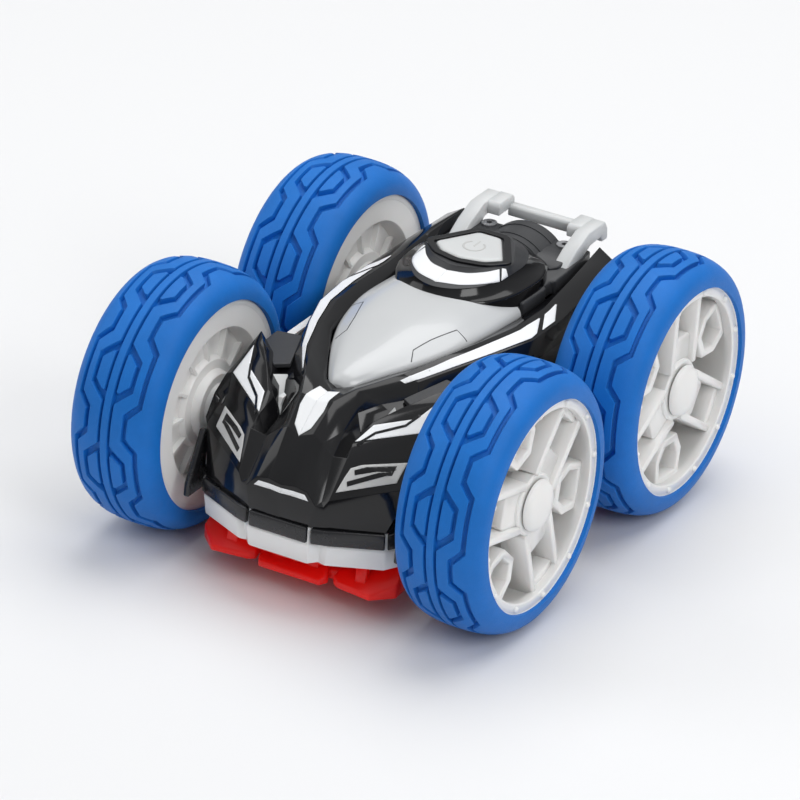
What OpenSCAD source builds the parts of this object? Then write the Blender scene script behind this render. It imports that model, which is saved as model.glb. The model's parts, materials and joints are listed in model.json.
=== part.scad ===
// Palm-sized stunt car: a flat two-sided body between four large wheels.
// Millimetres, +Z up, the car's nose points along -Y, its left side is +X.
// The origin is on the ground, midway between the four wheels.

/* [Wheels] */
// Outer radius of a tyre
tyre_r = 25; // [24:0.5:26]
// Width of a tyre
tyre_w = 18.14; // [17:0.1:18.2]
// Distance from the car's middle plane to the middle of a tyre
track_half = 34.03; // [34:0.1:36]
// Radius of the rim under the tyre
rim_r = 20; // [19.8:0.1:20.2]
// Radius of the steel stub axles
axle_r = 1.5; // [1.2:0.1:1.6]
// Turn of the spoke pattern on the front wheels
front_spoke_turn = 47; // [0:1:119]
// Turn of the spoke pattern on the rear wheels
rear_spoke_turn = 86; // [0:1:119]

/* [Gears] */
// Gear module
gear_m = 0.6; // [0.59:0.005:0.61]
// Pressure angle
pressure_angle = 20; // [18:1:22]
// Clearance along the pitch circle of each gear
backlash = 0.16; // [0.12:0.01:0.2]
// Tilt of the line from the drive gear down to the motor pinion
motor_drop = 30; // [28:1:34]

/* [Body] */
// Half width of the shells between the wheels
shell_half_w = 21.2; // [21.1:0.1:21.6]
// Thickness of the moulded walls
wall = 1.2; // [1:0.1:1.4]
// Height of the flat belly above the ground
belly_z = 4.6; // [4.4:0.1:5]

/* [Power button] */
// Downward travel of the button
button_travel = 0.8; // [0.6:0.1:0.9]
// Clearance round the button
button_gap = 0.2; // [0.15:0.05:0.3]

/* [Hidden] */
$fn = 64;

// Gear train: axle gear, idler, drive gear, idler, axle gear along the wheelbase.
axle_teeth = 24;
idler_teeth = 20;
drive_teeth = 26;
big_teeth = 34;
pinion_teeth = 10;
axle_z = tyre_r;
wheel_y = gear_m * (axle_teeth + 2 * idler_teeth + drive_teeth) / 2;
idler_y = gear_m * (idler_teeth + drive_teeth) / 2;
motor_reach = gear_m * (big_teeth + pinion_teeth) / 2;
motor_y = -motor_reach * cos(motor_drop);
motor_z = axle_z - motor_reach * sin(motor_drop);
// Where the gears and plates lie across the car.
plate_x = 9.2;
plate_t = 1.3;
big_gear_x = 11.4;
big_gear_t = 2.2;
train_x = 14.8;
train_t = 3;
cover_x = 18.5;
cover_t = 1.5;
pin_r = 0.8;
run_gap = 0.06;
// Wheel stations across the car.
tyre_in = track_half - tyre_w / 2;
tyre_out = track_half + tyre_w / 2;
rim_in = tyre_in + 0.85;
rim_out = tyre_out - 0.9;
spoke_back = rim_out - 6.5;
spoke_face = rim_out - 1;
hub_r = 4.4;
bevel_n = 2.6;
// Levels of the body.
belt_low = 10;
belt_mid = 15.1;
belt_top = 18.3;
front_y = -46.6;
rear_y = 44;
// Where the shell screws stand.
screw_x = 13;
screw_y = 37.6;
deck_screw_x = 8.1;
deck_screw_y = 40.4;
// Low round cover behind the dome.
engine_cover_r = 8.6;
cover_low_z = 42 - engine_cover_r;

// ---------- helpers ----------

// Draws a flat outline in the Y-Z plane and gives it a thickness along +X.
module along_x(x, t) {
  translate([x, 0, 0])
    rotate([90, 0, 90])
      linear_extrude(t)
        children();
}

// Turns a profile of [radius, x] points about the X axis.
module spin_x(facets = 96) {
  rotate([90, 0, 90])
    rotate_extrude($fn = facets)
      children();
}

module rod_x(x, t, r) {
  translate([x, 0, 0])
    rotate([0, 90, 0])
      cylinder(h = t, r = r);
}

// Copies a part to both sides of the car.
module both_sides() {
  children();
  mirror([1, 0, 0])
    children();
}

// Puts a left part on the left, or its mirror image on the right.
module on_side(side) {
  mirror([side == "right" ? 1 : 0, 0, 0])
    children();
}

// Stands a part at each of the four shell screws.
module at_shell_screws(z) {
  both_sides()
    for (y = [-screw_y, screw_y])
      translate([screw_x, y, z])
        children();
}

// Skin through closed rings that all have the same number of points.
module loft(rings) {
  n = len(rings[0]);
  m = len(rings);
  points = [for (ring = rings) for (p = ring) p];
  sides = [
    for (i = [0 : m - 2]) for (j = [0 : n - 1])
      [i * n + j, i * n + (j + 1) % n, (i + 1) * n + (j + 1) % n, (i + 1) * n + j]
  ];
  ends = [[for (j = [n - 1 : -1 : 0]) j], [for (j = [0 : n - 1]) (m - 1) * n + j]];
  polyhedron(points, concat(sides, ends), convexity = 6);
}

// Ring at one station: centre height, shoulder, edge and underside.
function body_half(s) = [[s[2], s[3]], [s[4], s[5]], [s[6], s[5] - 4], [s[6], s[7]]];
function body_ring(s) = concat(
  [[0, s[0], s[1]]],
  [for (p = body_half(s)) [-p[0], s[0], p[1]]],
  [for (i = [3 : -1 : 0]) [body_half(s)[i][0], s[0], body_half(s)[i][1]]]
);
function inset_station(s, dy, d) =
  [s[0] + dy, s[1] - d, s[2], s[3] - d, s[4] - d, s[5] - d, s[6] - d, s[7] - 1];
function inset_shift(i, last, d) = i == 0 ? 1.5 * d : i == last ? -d : 0.6 * d * (last - i) / (last + 1);
function inset_all(list, d) = [
  for (i = [0 : len(list) - 1])
    inset_station(list[i], inset_shift(i, len(list) - 1, d), d)
];

// ---------- gears ----------

function involute(a) = tan(a) * 180 / PI - a;
function flank(n, r) = let (rp = gear_m * n / 2, rb = rp * cos(pressure_angle))
  90 / n - backlash / rp * 45 / PI + involute(pressure_angle) - involute(acos(min(1, rb / max(r, rb))));
function on_circle(r, a) = [r * cos(a), r * sin(a)];

// Outline of a spur gear that has a tooth centred on angle 0.
module gear_outline(n, addendum = 0.95, dedendum = 1.3) {
  rp = gear_m * n / 2;
  rr = [rp - dedendum * gear_m, rp - 0.45 * gear_m, rp + 0.25 * gear_m, rp + addendum * gear_m];
  polygon([
    for (k = [0 : n - 1]) each concat(
      [for (r = rr) on_circle(r, 360 * k / n - flank(n, r))],
      [for (i = [3 : -1 : 0]) on_circle(rr[i], 360 * k / n + flank(n, rr[i]))]
    )
  ]);
}

module spur_gear(n, x, t, bore, turn, addendum = 0.95) {
  difference() {
    along_x(x, t)
      rotate(turn)
        gear_outline(n, addendum);
    rod_x(x - 1, t + 2, bore);
  }
}

module axle_gear() {
  spur_gear(axle_teeth, train_x, train_t, axle_r, 0);
}

module idler_gear(side_y) {
  color("white")
    translate([0, side_y, axle_z]) {
      spur_gear(idler_teeth, train_x, train_t, pin_r + run_gap, 180 / idler_teeth);
      difference() {
        rod_x(train_x - 0.4, train_t + 0.8, 1.9);
        rod_x(train_x - 1, train_t + 2, pin_r + run_gap);
      }
    }
}

// Compound gear: the small gear drives both idlers, the large one meets the motor pinion.
module drive_gear(dir) {
  color("white")
    translate([0, 0, axle_z]) {
      spur_gear(drive_teeth, train_x, train_t, pin_r + run_gap, 0);
      spur_gear(big_teeth, big_gear_x, big_gear_t, pin_r + run_gap, dir * motor_drop, 0.8);
      difference() {
        rod_x(big_gear_x, train_x + train_t - big_gear_x + 0.3, 3);
        rod_x(big_gear_x - 1, 10, pin_r + run_gap);
      }
    }
}

module pinion(dir) {
  color("goldenrod")
    translate([0, dir * motor_y, motor_z])
      spur_gear(
        pinion_teeth, big_gear_x - 0.3, big_gear_t + 0.6, 0.5, dir * motor_drop + 180 / pinion_teeth, 0.8
      );
}

// ---------- wheels, drawn for the left side about the axle ----------

function crown(u) = rim_r + (tyre_r - rim_r) * pow(max(0, 1 - pow(abs(u), bevel_n)), 1 / bevel_n);

module tyre() {
  color("royalblue")
    spin_x(128)
      polygon(concat(
        [for (i = [-12 : 12]) let (u = sin(i * 7.5)) [crown(u), track_half + u * tyre_w / 2]],
        [[rim_r, tyre_out], [rim_r, tyre_in]]
      ));
}

// One double-bar spoke with its web, pointing along +Y.
module spoke_outline() {
  for (side = [-1, 1])
    translate([4, side * 4.1 - 0.75])
      square([15.2, 1.5]);
  translate([3, -3.6])
    square([7, 7.2]);
}

// Five-sided bracket ring that hangs inward from the rim, pointing along +Y.
module bracket_outline() {
  difference() {
    polygon([[9.8, -2.6], [9.8, 2.6], [13.8, 5], [19.2, 4.4], [19.2, -4.4], [13.8, -5]]);
    polygon([[11.4, -1.8], [11.4, 1.8], [14.2, 3.4], [17.6, 3], [17.6, -3], [14.2, -3.4]]);
  }
}

module rim(turn) {
  nub_turn = turn - 10;
  color("whitesmoke") {
    spin_x(128)
      polygon([
        [rim_r, rim_in], [rim_r, tyre_out - 0.5], [rim_r - 0.4, rim_out], [rim_r - 1.7, rim_out],
        [rim_r - 1.7, rim_out - 1.6], [rim_r - 1.1, rim_out - 2.4], [rim_r - 1.1, rim_in]
      ]);
    difference() {
      union() {
        rod_x(tyre_in - 1.2, spoke_face - tyre_in + 0.8, hub_r);
        for (k = [0 : 2])
          rotate([turn + 120 * k, 0, 0]) {
            along_x(spoke_back, spoke_face - spoke_back)
              spoke_outline();
            rotate([60, 0, 0])
              along_x(spoke_back + 1, spoke_face - spoke_back - 2.2)
                bracket_outline();
          }
      }
      rod_x(tyre_in - 3, spoke_face - tyre_in - 1.4, axle_r);
      rod_x(spoke_face - 3.4, 6, 2.9);
      rod_x(spoke_face - 6, 5, 0.9);
    }
    for (k = [0 : 11])
      rotate([nub_turn + 30 * k, 0, 0])
        translate([0, rim_r - 1.2, 0])
          rod_x(rim_out - 1, 1.15, 0.6);
  }
}

// Disc that closes the wheel's inner side, dished around a stepped hub.
module inner_disc() {
  color("whitesmoke")
    spin_x(96)
      polygon([
        [hub_r, rim_in + 0.6], [6.4, rim_in + 0.6], [6.4, rim_in + 2.2], [8.8, rim_in + 2.2],
        [8.8, rim_in + 3.8], [13.4, rim_in + 4.4], [14.5, rim_in], [rim_r - 1.1, rim_in],
        [rim_r - 1.1, rim_in + 1.2], [15.6, rim_in + 1.2], [14.6, rim_in + 5.6], [hub_r, rim_in + 5]
      ]);
}

module hub_cap() {
  color("white")
    spin_x(64)
      polygon([
        [0, spoke_face - 0.6], [2.8, spoke_face - 0.6], [2.8, spoke_face + 0.02], [5.3, spoke_face + 0.02],
        [5.3, spoke_face + 0.7], [4.6, spoke_face + 1.3], [2.6, spoke_face + 1.75], [0, spoke_face + 1.85]
      ]);
}

module wheel_screw() {
  color("silver") {
    rod_x(spoke_face - 8, 4.7, 0.8);
    difference() {
      rod_x(spoke_face - 3.4, 1.6, 2.2);
      rod_x(spoke_face - 2.6, 2, 0.7);
    }
  }
}

// Steel stub axle with the gear that is pressed on its inner end.
module axle() {
  color("silver")
    difference() {
      rod_x(train_x - 1, spoke_face - 5 - train_x + 1, axle_r);
      rod_x(spoke_face - 8.2, 4, 0.8);
    }
  color("white")
    axle_gear();
}

module wheel_place(end, side) {
  on_side(side)
    translate([0, end == "front" ? -wheel_y : wheel_y, axle_z])
      children();
}

// ---------- body shells ----------

// Stations of the black upper shell from nose to tail: place, centre height, shoulder half width
// and height, rail half width and height, skirt half width, underside.
side_w = shell_half_w + 0.2;
hood_stations = [
  [front_y + 0.4, 25.2, 5.2, 24.9, 9.4, 24, 9.4, belt_top],
  [-44.4, 27.2, 3, 27.6, 12.6, 25, 12.6, belt_top],
  [-42.6, 29.2, 2.8, 29.8, 17, 26.6, 17, belt_top],
  [-40.5, 31.8, 2.7, 33, 19.8, 28, 19.8, belt_top],
  [-36, 34.4, 3.2, 36.8, 21.2, 29.6, side_w, belt_top],
  [-31, 36.4, 8, 37, 21.2, 35, side_w, belt_top],
  [-22, 37.6, 14, 38.8, 20.2, 39, side_w, belt_top],
  [-8, 38.2, 14, 38.8, 19.4, 40.2, side_w, belt_top],
  [10, 38.2, 14, 38.8, 19.4, 40.4, side_w, belt_top],
  [34, 38.2, 14, 38.8, 19.6, 39, side_w, belt_top],
  [rear_y, 37, 14, 37.2, 18.6, 38.6, side_w, belt_top]
];

// Plan outline of the body at belt level, left half from nose to tail.
plan_half = [
  [6.2, front_y], [7.6, -45], [9.2, -45.4], [18.8, -41], [shell_half_w, -36.6],
  [shell_half_w, 40], [16, rear_y]
];
function mirrored(half) = concat(half, [for (i = [len(half) - 1 : -1 : 0]) [-half[i][0], half[i][1]]]);
module plan(grow = 0) {
  polygon([for (p = mirrored(plan_half)) [p[0] + sign(p[0]) * grow, p[1] + sign(p[1]) * grow]]);
}

// Plan outlines of the two pieces that fill the top of the upper shell.
canopy_half = [[1.2, -28.2], [6.2, -24.8], [11, -16], [13.6, -6], [13.2, 3.8]];
deck_half = [[13.2, 4.2], [13.4, 30], [12.6, 42.6]];
module outline(half, grow = 0) {
  offset(delta = grow)
    polygon(mirrored(half));
}

// Openings in the side walls that the wheel hubs turn in.
module hub_slots(r) {
  both_sides()
    for (y = [-wheel_y, wheel_y])
      translate([0, y, axle_z]) {
        rod_x(cover_x + cover_t, 10, r);
        translate([cover_x + cover_t, -r, -12])
          cube([10, 2 * r, 12]);
      }
}

module hood_shell() {
  color("black")
    difference() {
      loft([for (s = hood_stations) body_ring(s)]);
      loft([for (s = inset_all(hood_stations, wall)) body_ring(s)]);
      translate([0, 0, 30])
        linear_extrude(20) {
          outline(canopy_half);
          outline(deck_half);
          translate([-13.2, 3])
            square([26.4, 2]);
        }
      hub_slots(4.2);
      both_sides()
        hoop_pocket();
    }
}

// Ring of the canopy at one station: half width, crown height and edge height.
canopy_stations = [
  [-27.6, 1.6, 36.9, 36.4], [-24.6, 5.8, 38, 36.6], [-16, 10.7, 39.8, 37.2],
  [-6, 13.3, 41.4, 37.8], [3.7, 12.9, 42.3, 38.2]
];
function canopy_ring(s, d) = let (w = s[1] - d)
  [for (k = [0 : 8]) let (a = 180 * k / 8) [w * cos(a), s[0], s[3] - d + (s[2] - s[3]) * sin(a)]];
function canopy_body(d, low) = [
  for (s = canopy_stations)
    concat(canopy_ring(s, d), [[-s[1] + d, s[0], s[3] - low], [s[1] - d, s[0], s[3] - low]])
];

module canopy() {
  color("silver")
    difference() {
      loft(canopy_body(0, 2));
      translate([0, 1.2, -0.2])
        loft(canopy_body(0.9, 4));
    }
}

module button_outline(grow = 0) {
  offset(delta = grow)
    polygon([
      [-2.4, 26.4], [2.4, 26.4], [7.2, 18.5], [4.6, 16], [0, 14.9], [-4.6, 16], [-7.2, 18.5]
    ]);
}

// Dark rear deck: low deck, dome round the button and a half-round engine cover.
module engine_cover(shrink) {
  intersection() {
    translate([0, 32 + shrink, cover_low_z])
      rotate([-90, 0, 0])
        cylinder(h = 10.4 - 2 * shrink, r = engine_cover_r - shrink);
    translate([-10, 30, 38])
      cube([20, 14, 10]);
  }
}

module rear_deck() {
  color("dimgray")
    difference() {
      union() {
        translate([0, 0, 36.6])
          linear_extrude(2.8)
            outline(deck_half, -0.2);
        hull() {
          translate([0, 19, 39])
            linear_extrude(0.5)
              scale([11.6, 14.6])
                circle(1, $fn = 32);
          translate([0, 20.5, 44.4])
            linear_extrude(0.5)
              scale([9.6, 8.6])
                circle(1, $fn = 32);
        }
        engine_cover(0);
      }
      translate([0, 0, 36])
        linear_extrude(2.4)
          outline(deck_half, -1.4);
      translate([0, 0, 36])
        linear_extrude(7.2)
          button_outline(1);
      translate([0, 0, 36])
        linear_extrude(20)
          button_outline(button_gap);
      both_sides() {
        translate([deck_screw_x, deck_screw_y, 30])
          cylinder(h = 20, r = 0.8);
        hoop_pocket();
      }
    }
}

// Glossy ring that frames the button on top of the dome.
module button_bezel() {
  color("black")
    translate([0, 0, 44.95])
      linear_extrude(0.5)
        difference() {
          button_outline(1.6);
          button_outline(button_gap);
        }
}

// Button cap with the flange that keeps it under the deck.
module power_button() {
  color("lightgray") {
    translate([0, 0, 43])
      linear_extrude(2.5)
        button_outline();
    translate([0, 0, 42])
      linear_extrude(1)
        button_outline(0.7);
  }
}

module switch_plunger() {
  color("white")
    translate([-1.4, 19, 41.4 - button_travel])
      cube([2.8, 2.8, 0.6 + button_travel]);
}

// Hoop behind the tail: two swept arms, two corner blocks and a low cross bar.
module hoop_arm(grow = 0) {
  along_x(9.8 - grow, 3 + 2 * grow)
    polygon([
      [30.8 - grow, 37.6 - grow], [31.8 - grow, 38.6 + grow], [36.4, 41.4 + grow], [41.2, 43.3 + grow],
      [47.6, 43.3 + grow], [48.6 + grow, 41.6], [48.6 + grow, 39.4], [46.6, 39.4 - grow], [46, 40.6 - grow],
      [42, 40.4 - grow], [38, 38.6 - grow], [35.6, 37.6 - grow]
    ]);
}

module hoop_pocket() {
  hoop_arm(0.15);
}

module roll_bar() {
  color("gainsboro") {
    both_sides() {
      hoop_arm();
      translate([7.2, 42.4, 40.8])
        cube([3, 6, 2.5]);
    }
    translate([-7.4, 46.4, 39.4])
      cube([14.8, 2.2, 2.3]);
  }
}

// Screws that hold the deck, under the hoop's corner blocks.
module deck_screws() {
  color("silver")
    both_sides()
      translate([deck_screw_x, deck_screw_y, 35.4])
        difference() {
          union() {
            cylinder(h = 4.1, r = 0.8);
            translate([0, 0, 4.1])
              cylinder(h = 0.7, r = 1.5);
          }
          translate([0, 0, 4.4])
            cylinder(h = 1, r = 0.6, $fn = 6);
        }
}

// Band around the body, clear of the wheel hubs.
module band(low, high, grow, thickness) {
  translate([0, 0, low])
    linear_extrude(high - low)
      difference() {
        plan(grow);
        offset(delta = -thickness)
          plan(grow);
      }
}

module front_bumper() {
  color("black") {
    band(belt_mid, belt_top, 0.2, 1.2);
    both_sides() {
      along_x(21.5, 1.1)
        polygon([[-42.4, 14], [-42.2, 16.4], [-37.4, 25.6], [-36.4, 25.4], [-36.2, 14]]);
      translate([20.6, -38, belt_mid + 0.1])
        cube([1.4, 1.6, belt_top - belt_mid - 0.2]);
    }
  }
}

module mid_frame() {
  color("white") {
    band(belt_low, belt_mid, 0, 1.1);
    at_shell_screws(belt_low)
      translate([1.6, -0.8, 0])
        cube([shell_half_w - screw_x - 3, 1.6, belt_mid - belt_low]);
    at_shell_screws(belt_low)
      difference() {
        cylinder(h = 15, r = 2.2);
        translate([0, 0, -1])
          cylinder(h = 17, r = 0.8);
      }
  }
}

// Red lower shell with a flat belly and the wedge plates under the nose.
module belly_outline(shrink = 0) {
  half = [[6.6, -39.4], [9, -38.6], [16, -37], [17.2, -32], [17.2, 35], [13.6, 38.4]];
  polygon(mirrored([for (p = half) [p[0] - shrink, p[1] - sign(p[1]) * shrink]]));
}
module nose_plates() {
  translate([0, 0, belly_z])
    linear_extrude(1.1)
      polygon(mirrored([[6.7, -42.4], [7.2, -40.4], [9, -40.2], [17.2, -42.2], [20.4, -38.4], [20, -34]]));
}

module bottom_shell() {
  color("red")
    difference() {
      union() {
        difference() {
          union() {
            translate([0, 0, belly_z])
              linear_extrude(2)
                belly_outline();
            hull() {
              translate([0, 0, belly_z + 1.8])
                linear_extrude(0.2)
                  belly_outline();
              translate([0, 0, belt_low - 0.6])
                linear_extrude(0.6)
                  plan(-0.6);
            }
          }
          translate([0, 0, belly_z + wall])
            linear_extrude(20)
              belly_outline(wall);
        }
        nose_plates();
        at_shell_screws(belly_z)
          cylinder(h = belt_low - belly_z, r = 2.6);
      }
      at_shell_screws(belly_z - 1) {
        cylinder(h = 20, r = 1.2);
        cylinder(h = 3.4, r = 2);
      }
    }
}

module shell_screws() {
  color("silver")
    at_shell_screws(belly_z + 1.2) {
      cylinder(h = 1.2, r = 1.8);
      cylinder(h = 15, r = 0.8);
    }
}

// ---------- electrics ----------

module circuit_board() {
  color("green") {
    difference() {
      translate([-8, 7, 37.4])
        cube([16, 27, 1]);
      translate([-6, 30, 36])
        cylinder(h = 4, r = 0.9);
    }
    color("black") {
      translate([-5, 9, 36])
        cube([4.4, 5, 1.4]);
      translate([2, 24, 36.2])
        cube([3, 4, 1.2]);
    }
  }
}

module battery() {
  color("silver")
    translate([-8, -24, 26])
      cube([16, 28, 8]);
  color("gold")
    translate([-6, 4, 28.6])
      cube([12, 1.6, 3]);
}

module power_switch() {
  color("black")
    translate([0, 20.4, 38.4])
      difference() {
        translate([-3.6, -3.6, 0])
          cube([7.2, 7.2, 2.6]);
        translate([-1.55, -1.55, 1.2])
          cube([3.1, 3.1, 4]);
      }
}

module charge_socket() {
  color("black")
    translate([0, 0, 27])
      difference() {
        translate([-4.6, 36.4, 0])
          cube([9.2, 6.2, 4]);
        translate([-3.7, 38, 0.8])
          cube([7.4, 8, 2.4]);
      }
}

// Ring of eight points square to the route at its point number i.
function unit(v) = v / norm(v);
function wire_ring(route, i, r) = let (
  before = route[max(0, i - 1)],
  after = route[min(len(route) - 1, i + 1)],
  t = unit(after - before),
  side = unit(cross(t, abs(t[0]) > 0.8 ? [0, 1, 0] : [1, 0, 0])),
  up = cross(side, t)
) [for (k = [0 : 7]) route[i] + r * (cos(45 * k) * side + sin(45 * k) * up)];

// Sweeps a thin wire through a short chain of points.
module wire(route, r) {
  loft([for (i = [0 : len(route) - 1]) wire_ring(route, i, r)]);
}

module antenna_wire() {
  color("black")
    wire([[6, 9, 36.9], [6, 5.4, 35.9], [5, -14, 35.4], [0, -24, 34.9], [-5, -30, 31]], 0.4);
}

module motor_leads() {
  color("red")
    both_sides()
      wire([[8.4, 12, 36.8], [8.6, 16, 33], [8.4, 17, 26.6], [7.6, 14, 24.2]], 0.4);
}

// Flat-sided can motor with its shaft through the gear plate.
module motor(dir) {
  translate([0, dir * motor_y, motor_z]) {
    color("silver")
      intersection() {
        rod_x(-6.4, plate_x + 6.4, 6);
        translate([-10, -8, -5])
          cube([30, 16, 10]);
      }
    color("silver")
      rod_x(plate_x, big_gear_x + big_gear_t + 0.6 - plate_x, 0.5);
    color("white")
      intersection() {
        rod_x(-7.9, 1.5, 5.6);
        translate([-10, -8, -4.6])
          cube([30, 16, 9.2]);
      }
  }
}

// Outline that the gear plates and covers share.
module plate_outline() {
  polygon([
    [-31, 12.4], [31, 12.4], [34.5, 18], [34.5, 28], [31, 33],
    [12, 35.4], [-12, 35.4], [-31, 33], [-34.5, 28], [-34.5, 18]
  ]);
}

// Plate that carries the motor and the inner ends of the gear pins.
module gear_plate(dir) {
  color("whitesmoke")
    difference() {
      along_x(plate_x + 0.05, plate_t)
        plate_outline();
      translate([0, dir * motor_y, motor_z])
        rod_x(plate_x - 1, 4, 1.2);
      for (y = [-idler_y, 0, idler_y])
        translate([0, y, axle_z])
          rod_x(plate_x - 1, 4, pin_r);
    }
}

// Outer gear cover with seats for the axle bushes and the gear pins.
module gear_cover() {
  color("whitesmoke")
    difference() {
      along_x(cover_x, cover_t)
        plate_outline();
      for (y = [-wheel_y, wheel_y])
        translate([0, y, axle_z])
          rod_x(cover_x - 1, 4, 2.6);
      for (y = [-idler_y, 0, idler_y])
        translate([0, y, axle_z])
          rod_x(cover_x - 1, 2.2, pin_r);
    }
  color("whitesmoke")
    for (place = [[-30.5, 14.4], [30.5, 14.4], [-17, 33.4], [17, 33.4]])
      translate([0, place[0], place[1]])
        rod_x(plate_x + plate_t + 0.1, cover_x - plate_x - plate_t - 0.1, 1.1);
}

module gear_pins() {
  color("silver")
    both_sides()
      for (y = [-idler_y, 0, idler_y])
        translate([0, y, axle_z])
          rod_x(plate_x + 0.1, cover_x + 1.1 - plate_x, pin_r);
}

module axle_bushes() {
  color("ivory")
    both_sides()
      for (y = [-wheel_y, wheel_y])
        translate([0, y, axle_z])
          difference() {
            union() {
              rod_x(cover_x, cover_t + 1, 2.6);
              rod_x(cover_x + cover_t, 1, 3.2);
            }
            rod_x(cover_x - 1, 5, axle_r + 0.05);
          }
}

// ---------- the car ----------

hood_shell();
canopy();
rear_deck();
button_bezel();
roll_bar();
deck_screws();
front_bumper();
mid_frame();
bottom_shell();
shell_screws();
circuit_board();
battery();
power_switch();
charge_socket();
antenna_wire();
motor_leads();
motor(1);  // motor_left
on_side("right") motor(-1);  // motor_right
gear_plate(1);  // gear_plate_left
on_side("right") gear_plate(-1);  // gear_plate_right
gear_cover();  // gear_cover_left
on_side("right") gear_cover();  // gear_cover_right
gear_pins();
axle_bushes();
power_button();
switch_plunger();
idler_gear(-idler_y);  // idler_front_left
idler_gear(idler_y);  // idler_rear_left
drive_gear(1);  // drive_gear_left
pinion(1);  // pinion_left
on_side("right") idler_gear(-idler_y);  // idler_front_right
on_side("right") idler_gear(idler_y);  // idler_rear_right
on_side("right") drive_gear(-1);  // drive_gear_right
on_side("right") pinion(-1);  // pinion_right
wheel_place("front", "left") tyre();  // tyre_front_left
wheel_place("front", "left") rim(front_spoke_turn);  // rim_front_left
wheel_place("front", "left") inner_disc();  // inner_disc_front_left
wheel_place("front", "left") hub_cap();  // hub_cap_front_left
wheel_place("front", "left") wheel_screw();  // wheel_screw_front_left
wheel_place("front", "left") axle();  // axle_front_left
wheel_place("front", "right") tyre();  // tyre_front_right
wheel_place("front", "right") rim(front_spoke_turn);  // rim_front_right
wheel_place("front", "right") inner_disc();  // inner_disc_front_right
wheel_place("front", "right") hub_cap();  // hub_cap_front_right
wheel_place("front", "right") wheel_screw();  // wheel_screw_front_right
wheel_place("front", "right") axle();  // axle_front_right
wheel_place("rear", "left") tyre();  // tyre_rear_left
wheel_place("rear", "left") rim(rear_spoke_turn);  // rim_rear_left
wheel_place("rear", "left") inner_disc();  // inner_disc_rear_left
wheel_place("rear", "left") hub_cap();  // hub_cap_rear_left
wheel_place("rear", "left") wheel_screw();  // wheel_screw_rear_left
wheel_place("rear", "left") axle();  // axle_rear_left
wheel_place("rear", "right") tyre();  // tyre_rear_right
wheel_place("rear", "right") rim(rear_spoke_turn);  // rim_rear_right
wheel_place("rear", "right") inner_disc();  // inner_disc_rear_right
wheel_place("rear", "right") hub_cap();  // hub_cap_rear_right
wheel_place("rear", "right") wheel_screw();  // wheel_screw_rear_right
wheel_place("rear", "right") axle();  // axle_rear_right
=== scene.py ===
"""Looks of the palm-sized stunt car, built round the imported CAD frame."""
import json
from math import cos, hypot, pi, radians, sin
import bmesh
import bpy
from mathutils import Matrix, Vector
from mathutils.bvhtree import BVHTree


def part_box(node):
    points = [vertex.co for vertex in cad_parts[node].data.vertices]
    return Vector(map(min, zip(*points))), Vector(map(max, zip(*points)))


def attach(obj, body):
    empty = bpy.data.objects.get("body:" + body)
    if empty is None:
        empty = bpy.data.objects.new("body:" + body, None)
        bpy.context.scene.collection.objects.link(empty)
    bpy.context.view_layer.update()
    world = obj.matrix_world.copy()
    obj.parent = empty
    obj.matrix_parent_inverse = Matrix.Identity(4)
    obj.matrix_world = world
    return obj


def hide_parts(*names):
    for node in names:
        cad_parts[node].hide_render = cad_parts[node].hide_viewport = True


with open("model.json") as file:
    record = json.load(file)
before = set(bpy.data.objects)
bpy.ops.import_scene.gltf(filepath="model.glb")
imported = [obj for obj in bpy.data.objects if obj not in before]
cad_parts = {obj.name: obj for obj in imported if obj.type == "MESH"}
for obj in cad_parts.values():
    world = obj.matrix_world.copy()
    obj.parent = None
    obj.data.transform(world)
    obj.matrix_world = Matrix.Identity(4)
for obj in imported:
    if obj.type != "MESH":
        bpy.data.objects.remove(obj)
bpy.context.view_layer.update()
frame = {"nodes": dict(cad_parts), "record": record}

MM = 0.001
ENDS = ("front", "rear")
SIDES = ("left", "right")
CHASSIS = "chassis"

# Wheel sizes in millimetres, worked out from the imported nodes.
tyre_low, tyre_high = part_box("tyre_front_left")
TYRE_R = (tyre_high[2] - tyre_low[2]) / 2 / MM
TYRE_IN = tyre_low[0] / MM
TYRE_OUT = tyre_high[0] / MM
TYRE_MID = (TYRE_IN + TYRE_OUT) / 2
TYRE_HALF = (TYRE_OUT - TYRE_IN) / 2
AXLE_Z = (tyre_high[2] + tyre_low[2]) / 2 / MM
WHEEL_Y = -(tyre_high[1] + tyre_low[1]) / 2 / MM
RIM_R = 20.0
RIM_IN = TYRE_IN + 0.85
RIM_OUT = TYRE_OUT - 0.9
SPOKE_FACE = RIM_OUT - 0.95


def linked(name, data):
    """Object that holds the data, put in the scene."""
    made = bpy.data.objects.new(name, data)
    bpy.context.collection.objects.link(made)
    return made


# ---------------------------------------------------------------- camera

def place_camera():
    azimuth, elevation, roll = radians(29.65), radians(27.35), radians(2.47)
    distance, lens = 1.1288, 279.4
    target = Vector((2.76, -9.68, 27.09)) * MM
    back = Vector((sin(azimuth) * cos(elevation), -cos(azimuth) * cos(elevation), sin(elevation)))
    level = Vector((cos(azimuth), sin(azimuth), 0.0))
    upright = back.cross(level)
    right = cos(roll) * level + sin(roll) * upright
    up = -sin(roll) * level + cos(roll) * upright
    data = bpy.data.cameras.new("camera")
    data.lens = lens
    data.sensor_width = 36.0
    data.clip_start = 0.01
    camera = linked("camera", data)
    camera.matrix_world = Matrix.Translation(target + back * distance) @ Matrix(
        ((right.x, up.x, back.x, 0), (right.y, up.y, back.y, 0), (right.z, up.z, back.z, 0), (0, 0, 0, 1))
    )
    bpy.context.scene.camera = camera


# ---------------------------------------------------------------- materials

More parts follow.
